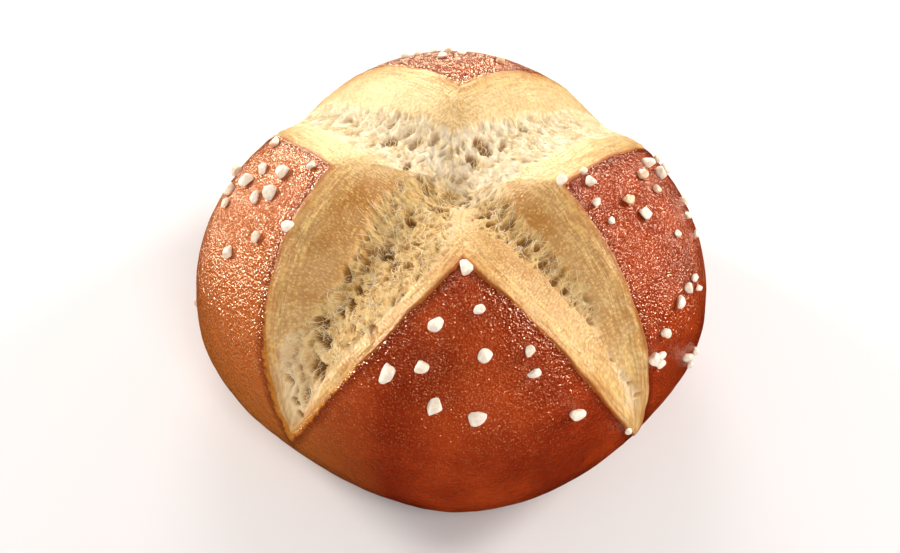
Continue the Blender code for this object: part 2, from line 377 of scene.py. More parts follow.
def crumbMaterial():
    # Wheat crumb that tore open in the oven: matt cream fibres and bubbles where it tore, and a
    # smooth, slightly shiny skin, golden where it browned, where the dough only stretched.
    look = dict(
        gold=colour("ac6e1c"), cream=colour("f3deac"), glint=colour("f2d084"), shadedHollow=colour("c69a58"),
        fibre=colour("e3c78c"), litPaleCream=colour("faf0dc"), pocket=colour("9a6a2c"), toast=colour("c07c30"),
        orange=colour("a9591c"), patch=5 * mm,
    )
    material, tree, shader = newMaterial("torn wheat crumb")
    place = addNode(tree, "TexCoord", {}, "Object")
    edge, torn, pocket, pale, litCrest = (
        addNode(tree, "Attribute", dict(attribute_name=name), "Fac")
        for name in ("edgeMm", "torn", "pocket", "pale", "litCrest")
    )
    armPlace = addNode(tree, "Attribute", dict(attribute_name="armPlace"), "Vector")
    along = addNode(tree, "SeparateXYZ", {0: armPlace}, "X")
    drawn = addNode(tree, "Mapping", {"Vector": armPlace, "Scale": (1 / 0.34, 1 / 0.9, 1.0)})
    threads = addNode(tree, "TexNoise", {"Vector": drawn, "Scale": 1.0, "Detail": 3.0, "Distortion": 0.6})
    patches = addNode(tree, "TexNoise", {"Vector": place, "Scale": 1 / look["patch"], "Detail": 3.0})
    gritPlace = addNode(tree, "Mapping", {"Vector": armPlace, "Scale": (1 / 0.34, 1 / 0.62, 1.0)})
    grit = addNode(tree, "TexVoronoi", {"Vector": gritPlace, "Scale": 1.0}, "Distance")
    chance = addNode(tree, "SeparateColor", {0: grit.node.outputs["Color"]})
    # streaks along the lip, where the skin was drawn out as the cut opened; the light streaks carry painted
    # glints
    lipX = addNode(tree, "Math", {**multiply, 0: edge, 1: 1.7})
    lipY = addNode(tree, "Math", {**multiply, 0: along, 1: 0.22})
    lipPlace = addNode(tree, "CombineXYZ", {"X": lipX, "Y": lipY})
    streaks = addNode(tree, "TexNoise", {"Vector": lipPlace, "Scale": 1.0, "Detail": 4.0, "Roughness": 0.65})
    # painted light: the skin turns from gold to cream where it is pale, which is partly less browning and
    # partly painted light on the rear arms
    share = addNode(tree, "MapRange", {
        "Value": patches, "From Min": 0.38, "From Max": 0.62, "To Min": -0.09, "To Max": 0.09,
    })
    paler = addNode(tree, "Math", {**add, 0: pale, 1: share, "use_clamp": True})
    skin = addNode(tree, "Mix", {**mixColours, 0: paler, 6: look["gold"], 7: look["cream"]}, 2)
    nearLip = addNode(tree, "MapRange", {"Value": edge, "From Min": 6.5, "From Max": 3.0})
    share = addNode(tree, "MapRange", {
        "Value": streaks, "From Min": 0.44, "From Max": 0.60, "To Min": -0.55, "To Max": 0.75,
    })
    streaked = addNode(tree, "Math", {**multiply, 0: share, 1: nearLip})
    darker = addNode(tree, "Math", {**multiply, 0: streaked, 1: -0.8, "use_clamp": True})
    paintedStreakGlint = addNode(tree, "Math", {**multiply, 0: streaked, 1: 1.2, "use_clamp": True})
    skin = addNode(tree, "Mix", {**mixColours, 0: darker, 6: skin, 7: look["gold"]}, 2)
    skin = addNode(tree, "Mix", {**mixColours, 0: paintedStreakGlint, 6: skin, 7: look["glint"]}, 2)
    # painted shade in the hollows between the specks of the skin's grit, and painted glints on their tops
    between = addNode(tree, "MapRange", {"Value": grit, "From Min": 0.35, "From Max": 0.75, "To Max": 0.38})
    skin = addNode(tree, "Mix", {**mixColours, 0: between, 6: skin, 7: look["gold"]}, 2)
    paintedGlints = addNode(tree, "MapRange", {"Value": grit, "From Min": 0.50, "From Max": 0.20})
    chance = addNode(tree, "MapRange", {"Value": chance, "From Min": 0.10, "From Max": 1.0, "To Max": 0.75})
    paintedGlints = addNode(tree, "Math", {**multiply, 0: paintedGlints, 1: chance})
    skin = addNode(tree, "Mix", {**mixColours, 0: paintedGlints, 6: skin, 7: look["glint"]}, 2)
    # painted light and shade: the torn crumb is lighter on the crests of its fibres and darker in the hollows
    # between them
    share = addNode(tree, "MapRange", {
        "Value": threads, "From Min": 0.4, "From Max": 0.6, "To Min": -0.25, "To Max": 0.25,
    })
    light = addNode(tree, "Math", {**add, 0: litCrest, 1: share, "use_clamp": True})
    inside = addNode(tree, "Mix", {**mixColours, 0: light, 6: look["shadedHollow"], 7: look["fibre"]}, 2)
    # painted light: the torn crumb turns near white where the crumb is pale, mostly on the rear arms,
    # standing for strong light from behind
    share = addNode(tree, "MapRange", {"Value": pale, "From Min": 0.35, "From Max": 0.85, "To Max": 0.95})
    inside = addNode(tree, "Mix", {**mixColours, 0: share, 6: inside, 7: look["litPaleCream"]}, 2)
    base = addNode(tree, "Mix", {**mixColours, 0: torn, 6: skin, 7: inside}, 2)
    # painted shade: the pockets of the torn crumb darken with their depth, a little less on the pale rear
    # arms
    share = addNode(tree, "MapRange", {"Value": pocket, "From Min": 0.05, "From Max": 0.7, "To Max": 0.95})
    lighter = addNode(tree, "MapRange", {"Value": pale, "From Min": 0.3, "To Min": 1.0, "To Max": 0.9})
    share = addNode(tree, "Math", {**multiply, 0: share, 1: lighter})
    base = addNode(tree, "Mix", {**mixColours, 0: share, 6: base, 7: look["pocket"]}, 2)
    share = addNode(tree, "MapRange", {
        "Value": patches, "From Min": 0.4, "From Max": 0.6, "To Min": -0.6, "To Max": 0.6,
    })
    ragged = addNode(tree, "Math", {**add, 0: edge, 1: share})
    browned = addNode(tree, "MapRange", {"Value": ragged, "From Min": 3.2, "From Max": 0.2, "To Max": 0.85})
    share = addNode(tree, "MapRange", {
        "Value": pale, "From Min": 0.2, "From Max": 0.7, "To Min": 1.0, "To Max": 0.55,
    })
    browned = addNode(tree, "Math", {**multiply, 0: browned, 1: share})
    base = addNode(tree, "Mix", {**mixColours, 0: browned, 6: base, 7: look["toast"]}, 2)
    share = addNode(tree, "MapRange", {"Value": edge, "From Min": 0.6, "From Max": 0.0})
    base = addNode(tree, "Mix", {**mixColours, 0: share, 6: base, 7: look["orange"]}, 2)
    gloss = addNode(tree, "MapRange", {"Value": torn, "To Min": 0.34, "To Max": 0.80})
    pebbly = addNode(tree, "Math", {"operation": "MULTIPLY_ADD", 0: grit, 1: -0.35, 2: streaks})
    relief = addNode(tree, "Mix", {"data_type": "FLOAT", 0: torn, 2: pebbly, 3: threads})
    bump = addNode(tree, "Bump", {"Strength": 1.0, "Distance": 0.30 * mm, "Height": relief})
    setInputs(tree, shader, {
        "Base Color": base, "Roughness": gloss, "Specular IOR Level": 0.4, "Normal": bump,
        "Subsurface Weight": 0.2, "Subsurface Radius": (1.0, 0.8, 0.55), "Subsurface Scale": 1.0 * mm,
    })
    return material


def strandMaterial():
    # Gluten drawn out to threads as the dough tore: pale, thin and half see-through.
    material, tree, shader = newMaterial("drawn gluten threads")
    place = addNode(tree, "TexCoord", {}, "Object")
    patches = addNode(tree, "TexNoise", {"Vector": place, "Scale": 1 / (3 * mm)})
    share = addNode(tree, "MapRange", {"Value": patches, "From Min": 0.35, "From Max": 0.65})
    base = addNode(tree, "Mix", {**mixColours, 0: share, 6: colour("e9cf96"), 7: colour("f8ebc8")}, 2)
    setInputs(tree, shader, {
        "Base Color": base, "Roughness": 0.5, "Subsurface Weight": 0.3,
        "Subsurface Radius": (1.0, 0.8, 0.5), "Subsurface Scale": 0.5 * mm,
    })
    return material


def saltMaterial():
    # Pressed pretzel salt: small crystals stuck together to opaque white lumps, glassy at the
    # corners and stained caramel where the crust's sugars ran into them.
    material, tree, shader = newMaterial("pressed pretzel salt")
    place = addNode(tree, "TexCoord", {}, "Object")
    stain = addNode(tree, "Attribute", dict(attribute_name="stain"), "Fac")
    crystals = addNode(tree, "TexNoise", {"Vector": place, "Scale": 1 / (0.7 * mm), "Detail": 3.0})
    share = addNode(tree, "MapRange", {"Value": crystals, "From Min": 0.3, "From Max": 0.7})
    base = addNode(tree, "Mix", {**mixColours, 0: share, 6: colour("efe0cf"), 7: colour("fdf9f2")}, 2)
    base = addNode(tree, "Mix", {**mixColours, 0: stain, 6: base, 7: colour("c98d4c")}, 2)
    bump = addNode(tree, "Bump", {"Strength": 0.8, "Distance": 0.2 * mm, "Height": crystals})
    setInputs(tree, shader, {
        "Base Color": base, "Roughness": 0.36, "IOR": 1.54, "Subsurface Weight": 0.5,
        "Subsurface Radius": (1.0, 0.9, 0.75), "Subsurface Scale": 0.8 * mm, "Normal": bump,
    })
    return material


# camera and light
view = dict(
    target=(-0.00028, -0.00041, 0.0207),
    distance=0.450,
    elevation=50,
    lens=92.0,  # both in millimetres, as Blender has them
    sensor=36.0,
    nearest=0.01,
    frame=(900, 553),  # width and height in pixels
)


def cameraPlace():  # where the camera is, and the directions back from the roll and up in the frame
    raised = math.radians(view["elevation"])
    back = Vector((0, -math.cos(raised), math.sin(raised)))
    up = Vector((0, math.sin(raised), math.cos(raised)))
    return Vector(view["target"]) + back * view["distance"], back, up


def makeCamera():
    place, _, _ = cameraPlace()
    camera = bpy.data.objects.new("camera", bpy.data.cameras.new("camera"))
    camera.data.lens = view["lens"]
    camera.data.sensor_width = view["sensor"]
    camera.data.clip_start = view["nearest"]
    camera.location = place
    camera.rotation_euler = (math.pi / 2 - math.radians(view["elevation"]), 0, 0)
    bpy.context.scene.collection.objects.link(camera)
    bpy.context.scene.camera = camera


def throughPixel(pixelX, pixelY):  # a ray from the camera through that spot of its frame
    place, back, up = cameraPlace()
    wide, tall = view["frame"]
    pixels = view["lens"] / view["sensor"] * wide
    across = Vector((1, 0, 0)) * (pixelX - wide / 2) / pixels
    ray = across + up * (tall / 2 - pixelY) / pixels - back
    return place, ray.normalized()


# The four wide lights fill the roll and the four glints show only in its glossy skin.
lamps = [
    dict(name="left key", azimuth=152, elevation=22, distance=0.9, size=0.30, power=8.1,
         tone="fff3e2"),
    dict(name="right key", azimuth=22, elevation=24, distance=0.9, size=0.30, power=7.5,
         tone="fff3e2"),
    dict(name="rear light", azimuth=94, elevation=26, distance=1.0, size=0.5, power=3.7,
         tone="fff8f0"),
    dict(name="front fill", azimuth=-75, elevation=45, distance=1.0, size=0.6, power=5.5,
         tone="fff3e4", glints=False),
    dict(name="front glint", azimuth=-55, elevation=50, distance=1.0, size=0.24, power=5.4,
         tone="ffdaa8", fills=False),
    dict(name="left glint", azimuth=152, elevation=14, distance=0.9, size=0.24, power=11.0,
         tone="ffe4c0", fills=False),
    dict(name="right glint", azimuth=22, elevation=14, distance=0.9, size=0.20, power=4.4,
         tone="ffdeb0", fills=False),
    dict(name="rear glint", azimuth=94, elevation=8, distance=0.9, size=0.24, power=8.5,
         tone="ffe0b4", fills=False),
]
room = dict(
    strength=0.26,
    tone="fffdfa",
    middle=(0, 0, 0.02),  # the lights point here
    floorSize=3.0,  # from the middle to each edge
    floorTone="e8edf8",
    floorRoughness=0.9,
)


def makeLights():
    for lamp in lamps:
        light = bpy.data.lights.new(lamp["name"], "AREA")
        light.shape = "DISK"
        light.size = lamp["size"]
        light.energy = lamp["power"]
        light.color = colour(lamp["tone"])[:3]
        holder = bpy.data.objects.new(lamp["name"], light)
        turned, raised = math.radians(lamp["azimuth"]), math.radians(lamp["elevation"])
        flat = math.cos(raised)
        way = Vector((math.cos(turned) * flat, math.sin(turned) * flat, math.sin(raised)))
        holder.location = way * lamp["distance"]
        towards = Vector(room["middle"]) - holder.location
        holder.rotation_euler = towards.to_track_quat("-Z", "Y").to_euler()
        holder.visible_glossy = lamp.get("glints", True)
        holder.visible_diffuse = lamp.get("fills", True)
        bpy.context.scene.collection.objects.link(holder)
    world = bpy.data.worlds.new("studio")
    world.use_nodes = True
    background = world.node_tree.nodes["Background"]
    background.inputs["Color"].default_value = colour(room["tone"])
    background.inputs["Strength"].default_value = room["strength"]
    world.cycles_visibility.glossy = False  # only the lights glint in the crust
    bpy.context.scene.world = world
    bpy.context.scene.view_settings.view_transform = "Standard"


def makeFloor():
    # White paper sweep: matt, and a little cool, so that warm light leaves it white.
    material, tree, shader = newMaterial("white paper sweep")
    setInputs(tree, shader, {"Base Color": colour(room["floorTone"]), "Roughness": room["floorRoughness"]})
    shape = bmesh.new()
    bmesh.ops.create_grid(shape, x_segments=1, y_segments=1, size=room["floorSize"])
    mesh = bpy.data.meshes.new("floor")
    shape.to_mesh(mesh)
    shape.free()
    mesh.materials.append(material)
    floor = bpy.data.objects.new("floor", mesh)
    bpy.context.scene.collection.objects.link(floor)
    floor.visible_glossy = False  # no white haze from it in the crust


# crust
crust = dict(
    squares=128,  # along each edge of the cube that is blown up to the loaf
    turn=math.radians(45),
    sink=1.2 * mm,  # the skin dives this far under the crumb past its edge
    sinkStart=0.8 * mm,
    sinkRun=0.8 * mm,
    sinkMore=5.0 * mm,  # and this much further, from the first to the second distance inside the edge
    sinkMoreRun=(1.6 * mm, 5 * mm),
    footRun=(0.2 * mm, 5 * mm),  # the foot is flat, and the bumps grow between these heights
    lift=0.12 * mm,  # the edge curls up a little
    liftWidth=0.9 * mm,
    liftPlace=-0.3 * mm,
    swell=0.35 * mm,
    swellSize=17 * mm,
    ripple=0.10 * mm,
    rippleSize=4.5 * mm,
    wrinkle=0.045 * mm,
    wrinkleSize=1.5 * mm,
)


def edgeLift(edge):  # the crust and the lip of the crumb both curl up along the cut
    return crust["lift"] * np.exp(-((edge - crust["liftPlace"]) / crust["liftWidth"]) ** 2)


def crustDepth(arc, azimuth):
    places = onDome(arc, azimuth)
    shape = crossShape(arc, places)
    edge = shape["edge"]
    onSide = smoothStep(places[:, 2], *crust["footRun"])
    sunk = np.clip((edge - crust["sinkStart"]) / crust["sinkRun"], 0, 1)
    depth = shape["depth"] + crust["sink"] * sunk - edgeLift(edge)
    depth += crust["sinkMore"] * smoothStep(edge, *crust["sinkMoreRun"])
    bumps = crust["swell"] * softNoise(places, crust["swellSize"], 3)
    bumps += crust["ripple"] * softNoise(places, crust["rippleSize"], 4)
    bumps += crust["wrinkle"] * softNoise(places, crust["wrinkleSize"], 5)
    return depth - bumps * onSide, edge


def ballShape(squares, turn):  # a cube's grid spread evenly over a ball, as arc and azimuth
    shape = bmesh.new()
    bmesh.ops.create_cube(shape, size=2)
    bmesh.ops.subdivide_edges(shape, edges=shape.edges, cuts=squares - 1, use_grid_fill=True)
    bmesh.ops.recalc_face_normals(shape, faces=shape.faces)
    mesh = bpy.data.meshes.new("crust")
    shape.to_mesh(mesh)
    shape.free()
    directions = np.tan(readPoints(mesh) * math.pi / 4)
    directions /= np.linalg.norm(directions, axis=1, keepdims=True)
    angle = np.arccos(np.clip(directions[:, 2], -1, 1))
    arc = np.interp(angle, [0, loaf["bellyAngle"], math.pi], [0, bellyArc, wholeArc])
    azimuth = np.arctan2(directions[:, 1], directions[:, 0]) + turn
    return mesh, arc, azimuth


# salt
salt = dict(
    sunk=0.24,  # share of a grain's height that is below the crust
    dent=0.30 * mm,
    dentWidth=0.62,  # as a share of the grain's length
    pixelsPerMm=5.1,
    frameMiddle=(450, 276),
    drawnIn=0.006,  # a grain past the outline moves this share of the way in, step by step
    drawnSteps=12,
    leastWidth=1.5,
    flats=9,
    flatDepth=(0.50, 0.82),
    cut=0.92,
    uneven=0.05,
    high=(0.75, 0.95),
    hidden=34,  # grains on the side that faces away from the camera
    hiddenFacing=-0.22,
    hiddenHeight=(0.012, 0.075),
    lowest=0.013,
    apart=4.2 * mm,
    hiddenLong=(2.1, 3.6),
    hiddenWide=(0.65, 0.95),
    hiddenStains=[0, 0, 0, 0.1, 0.25, 0.6],
)
# Grains by the spot of the camera's frame they show at, with their width and height there in
# pixels, and how far they are stained, from 0 to 1.
saltSeen = [
    (276, 144, 10, 13, 0.15), (233, 170, 13, 12, 0.35), (264, 170, 11, 13, 0), (283, 174, 12, 14, 0),
    (312, 167, 10, 7, 0.1), (248, 182, 14, 16, 0), (231, 190, 12, 14, 0), (271, 194, 12, 16, 0),
    (255, 198, 10, 15, 0), (227, 204, 11, 7, 0.2), (288, 227, 12, 12, 0), (257, 238, 9, 12, 0.25),
    (230, 253, 13, 11, 0.15),
    (465, 269, 14, 15, 0), (449, 264, 9, 10, 0.1), (479, 310, 11, 9, 0), (436, 325, 16, 13, 0),
    (484, 355, 14, 12, 0), (529, 351, 11, 10, 0), (422, 368, 13, 12, 0), (388, 374, 20, 14, 0),
    (533, 373, 13, 9, 0), (435, 406, 14, 18, 0), (477, 416, 18, 14, 0), (576, 414, 12, 20, 0),
    (627, 430, 8, 9, 0.1),
    (524, 189, 13, 11, 0), (562, 182, 10, 14, 0), (583, 172, 9, 5, 0.3), (590, 182, 11, 12, 0),
    (596, 203, 7, 10, 0.1), (611, 221, 7, 7, 0), (627, 201, 15, 10, 0.7), (644, 215, 12, 12, 0),
    (641, 176, 11, 12, 0.55), (656, 190, 9, 10, 0.35), (647, 163, 12, 15, 0), (659, 174, 13, 13, 0),
    (667, 168, 12, 14, 0), (658, 158, 10, 6, 0.3), (684, 201, 9, 13, 0), (687, 216, 10, 7, 0),
    (695, 234, 7, 12, 0), (676, 234, 8, 8, 0.1), (693, 278, 8, 10, 0), (687, 288, 11, 11, 0),
    (697, 288, 7, 12, 0), (678, 302, 11, 13, 0), (664, 333, 10, 12, 0), (652, 358, 13, 14, 0),
    (660, 355, 7, 12, 0), (659, 364, 7, 12, 0), (686, 357, 10, 13, 0), (694, 350, 7, 10, 0),
    (693, 366, 8, 10, 0),
    (404, 52, 11, 8, 0.2), (418, 52, 9, 7, 0.1), (435, 49, 12, 8, 0), (443, 57, 12, 8, 0.1),
    (449, 45, 9, 7, 0.1), (462, 55, 10, 7, 0.2), (500, 62, 9, 4, 0.7),
]


def saltPlaces(tree, draw):  # where each grain sits on the crust: place, crust's normal, size, stain
    grains = []
    middleX, middleY = salt["frameMiddle"]
    for pixelX, pixelY, wide, tall, stain in saltSeen:
        hit = None
        for step in range(salt["drawnSteps"]):
            share = 1 - salt["drawnIn"] * step
            atX, atY = middleX + (pixelX - middleX) * share, middleY + (pixelY - middleY) * share
            start, ray = throughPixel(atX, atY)
            hit, normal, _, _ = tree.ray_cast(start, ray)
            if hit is not None:
                break
        long, short = max(wide, tall) / salt["pixelsPerMm"], min(wide, tall) / salt["pixelsPerMm"]
        lean = math.atan2(tall, wide)
        grains.append((hit, normal, long * mm, max(short, salt["leastWidth"]) * mm, stain, lean))
    eye = bpy.context.scene.camera.location
    shown = len(grains)
    while len(grains) < shown + salt["hidden"]:
        azimuth, height = draw.uniform(-math.pi, math.pi), draw.uniform(*salt["hiddenHeight"])
        start = Vector((0.2 * math.cos(azimuth), 0.2 * math.sin(azimuth), height))
        hit, normal, _, _ = tree.ray_cast(start, Vector((0, 0, 0.01)) - start)
        if hit is None or hit.z < salt["lowest"]:
            continue
        if normal.dot((eye - hit).normalized()) > salt["hiddenFacing"]:
            continue
        if min((hit - other[0]).length for other in grains) < salt["apart"]:
            continue
        long = draw.uniform(*salt["hiddenLong"]) * mm
        stain = draw.choice(salt["hiddenStains"])
        short = long * draw.uniform(*salt["hiddenWide"])
        grains.append((hit, normal, long, short, stain, draw.uniform(0, 3)))
    return grains


def saltMesh(grains, draw):
    shape = bmesh.new()
    stains = []
    for place, normal, long, short, stain, lean in grains:
        made = bmesh.ops.create_icosphere(shape, subdivisions=3, radius=1.0)["verts"]
        body = np.array([vertex.co for vertex in made])
        for _ in range(salt["flats"]):  # flat faces, as pressed lumps have
            face = draw.normal(size=3)
            face /= np.linalg.norm(face)
            over = body @ face - draw.uniform(*salt["flatDepth"])
            body -= np.outer(np.maximum(over, 0) * salt["cut"], face)
        span = body.max(axis=0) - body.min(axis=0)
        body -= (body.max(axis=0) + body.min(axis=0)) / 2
        body /= span
        body *= (1 + salt["uneven"] * softNoise(body + draw.uniform(0, 50, 3), 0.22))[:, None]
        high = min(short * draw.uniform(*salt["high"]), long * 0.8)
        body *= (long, short, high)
        up = np.array(normal)
        side = np.cross((0, 1, 0), up)
        side /= np.linalg.norm(side)
        front = np.cross(up, side)
        turn = lean + draw.uniform(-0.2, 0.2)
        lengthways = side * math.cos(turn) + front * math.sin(turn)
        crossways = np.cross(up, lengthways)
        body = body @ np.stack([lengthways, crossways, up])
        body += np.array(place) + up * high * (0.5 - salt["sunk"])
        for vertex, point in zip(made, body):
            vertex.co = point
        stains += [stain] * len(made)
    mesh = bpy.data.meshes.new("salt")
    shape.to_mesh(mesh)
    shape.free()
    addAttribute(mesh, "stain", stains)
    return mesh


# crumb
crumb = dict(
    coarse=1.27 * mm,
    cuts=2,  # cuts in each coarse edge; the torn crumb gets one more in each of the thirds
    reach=80 * mm,
    margin=1.4 * mm,  # the crumb runs this far under the crust
    bury=1.2,
    proud=0.16 * mm,  # the lip stands this far above the crust
    step=0.30 * mm,  # the torn crumb lies this much lower than the stretched skin
    anchor=(0, 0, 0.020),  # the crumb's boundary runs down to this point inside the loaf
    fold=0.30 * mm,
    dimple=0.09 * mm,
    streak=0.20 * mm,
    grain=0.035 * mm,
    lump=0.30 * mm,
    knob=0.14 * mm,
    fibre=0.11 * mm,
    thread=0.08 * mm,
    web=0.34 * mm,
    cells=[(2.1, 71), (1.15, 74)],  # sizes in mm, with a number that sets each pattern apart
    frays=[(0.9, 2.6), (0.45, 0.9), (0.2, 0.45)],  # how far the torn crumb's border strays, and how often
    wholeFrom=12 * mm,
    wholeFront=7 * mm,
    holeFrays=[(0.22, 0.9), (0.12, 0.4)],
    holeShare=0.75,
    paleRidge=0.8,
    paleRidgeShare=0.75,
    paleRidgeWidth=3.5 * mm,
    pores=[(3.4, 0.9, 0.60, 61), (1.9, 0.7, 0.45, 64), (0.95, 0.4, 0.3, 67)],  # size, depth, rarity
)
# Larger holes in the torn crumb: arc, distance to the left of the arm's middle line, length and
# width, depth, all in mm, and the turn of the hole's length from across the arm, in degrees.
holes = [
    [(25, -0.5, 4.6, 3.4, 2.4, 20), (34, -4.5, 4.4, 1.8, 1.6, 55), (29, -3.1, 1.9, 1.4, 1.2, 10),
     (33, 1.0, 1.5, 1.2, 1.2, 0), (35.5, -0.7, 2.8, 1.9, 1.8, 30), (39, -0.4, 3.2, 2.0, 2.0, 40),
     (42, -0.9, 2.6, 1.8, 1.8, 20), (46, -3.6, 3.6, 2.8, 2.4, 20), (49, -1.4, 5.0, 3.0, 2.6, 10),
     (55, 0.4, 4.4, 4.2, 2.8, 10), (41, 8.0, 4.4, 2.4, 1.3, 35), (64, -2.3, 2.4, 1.6, 1.6, 30),
     (66, -0.5, 2.2, 1.6, 1.6, -20), (15, -1.4, 4.4, 2.2, 2.0, 25), (9, 1.5, 5.0, 2.0, 2.2, 0),
     (6, 3.4, 3.2, 1.6, 1.8, 10), (6, -4.5, 2.8, 1.6, 1.6, 20), (20, 3.6, 2.4, 1.4, 1.2, 0),
     (60, -4.6, 2.6, 1.4, 1.3, 30), (30, 4.6, 1.6, 1.1, 0.9, 0)],
    [(13, -2.2, 3.4, 1.8, 1.8, 10), (15.5, -3.4, 2.6, 1.4, 1.5, 0), (23, -0.8, 3.4, 1.8, 1.8, 15),
     (26, 0.2, 2.4, 1.4, 1.3, 0), (29.5, -1.2, 3.0, 1.6, 1.8, 0), (34, -2.0, 2.6, 2.0, 1.8, 0),
     (37, -1.6, 2.8, 1.8, 1.9, 0), (40.5, -1.4, 1.8, 1.2, 1.3, 0), (55, -0.9, 1.6, 0.8, 0.7, 60),
     (62, 1.0, 1.4, 0.9, 0.9, 0), (65.5, 1.8, 2.4, 0.9, 1.4, 0), (18, 0.4, 2.4, 1.6, 1.3, 0)],
    [(11, 3.3, 6.0, 3.0, 2.4, 5), (7, 2.7, 4.0, 2.2, 2.0, 0), (14, 0.9, 2.6, 1.6, 1.4, 20),
     (25.5, -0.1, 3.0, 1.2, 1.0, 10), (37, -0.4, 3.2, 2.2, 1.2, 20), (20, -3.5, 2.4, 1.4, 1.1, 0),
     (30, -4.0, 2.0, 1.3, 1.0, 0), (48, -1.5, 3.0, 1.8, 1.4, 15), (57, -0.5, 2.4, 1.4, 1.2, 0)],
    [(32, 1.2, 3.4, 1.8, 1.5, 30), (26, 3.4, 4.2, 2.0, 1.8, 20), (20, 4.6, 3.0, 2.0, 1.6, 0),
     (18, 1.0, 4.6, 3.4, 2.4, 20), (21, -2.5, 2.4, 1.4, 1.2, 0), (10, 3.5, 3.4, 2.0, 1.8, 0),
     (6, 4.3, 2.6, 1.6, 1.5, 0), (40, 1.6, 3.0, 1.8, 1.6, 10), (50, 0.4, 2.6, 1.6, 1.4, 0)],
]


def tornShare(arc, shape, places):  # 1 where the crumb tore, 0 on the stretched skin
    inside = np.full(len(arc), -9.0)
    for number, arm in enumerate(arms):
        stops, left, right = np.array(arm["torn"], float).T
        limitLeft, limitRight = (np.interp(arc / mm, stops, side) for side in (left, right))
        within = np.minimum(limitLeft - shape["aside"] / mm, shape["aside"] / mm - limitRight)
        inside = np.where(shape["arm"] == number, within, inside)
    for number, (amount, size) in enumerate(crumb["frays"]):
        inside += amount * softNoise(places, size * mm, 21 + number)
    off = np.hypot(places[:, 0] - cross["centre"][0], places[:, 1] - cross["centre"][1])
    # the skin is whole along the ridges, from nearer the crossing on the front one
    begins = crumb["wholeFrom"] - crumb["wholeFront"] * smoothStep(-places[:, 1], 4 * mm, 9 * mm)
    onRidge = smoothStep(shape["ridge"], 2.2 * mm, 0.5 * mm) * smoothStep(off, begins, begins + 4 * mm)
    return smoothStep(inside, -0.7, 0.8) * (1 - onRidge)


def holeDepth(arc, shape, flat):
    depth = np.zeros(len(arc))
    ragged = np.ones(len(arc))
    for number, (amount, size) in enumerate(crumb["holeFrays"]):
        ragged += amount * softNoise(flat, size * mm, 31 + number)
    for number, found in enumerate(holes):
        here = shape["arm"] == number
        for at, aside, long, wide, deep, turn in found:
            up, over = arc[here] / mm - at, shape["aside"][here] / mm - aside
            turned = math.radians(turn)
            lengthways = over * math.cos(turned) + up * math.sin(turned)
            crossways = up * math.cos(turned) - over * math.sin(turned)
            off = np.hypot(lengthways / (long / 2), crossways / (wide / 2)) * ragged[here]
            depth[here] = np.maximum(depth[here], crumb["holeShare"] * deep * mm * smoothStep(off, 1.1, 0.55))
    return depth


def paleAndLitShare(arc, shape):  # how pale the skin of the crumb is painted, from 0 to 1, per wall and along the ridges: partly where it browned less, partly painted light on the rear arms, which face the lights behind the roll
    pale = np.zeros(len(arc))
    run = np.clip(arc / cross["armLength"], 0, 1)
    side = smoothStep(shape["aside"], -2 * mm, 2 * mm)
    for number, arm in enumerate(arms):
        left, right = (near + (far - near) * run for near, far in (arm["paleLeft"], arm["paleRight"]))
        pale = np.where(shape["arm"] == number, right + (left - right) * side, pale)
    onRidge = smoothStep(shape["ridge"], crumb["paleRidgeWidth"], 0)
    return pale + (crumb["paleRidge"] - pale) * crumb["paleRidgeShare"] * onRidge


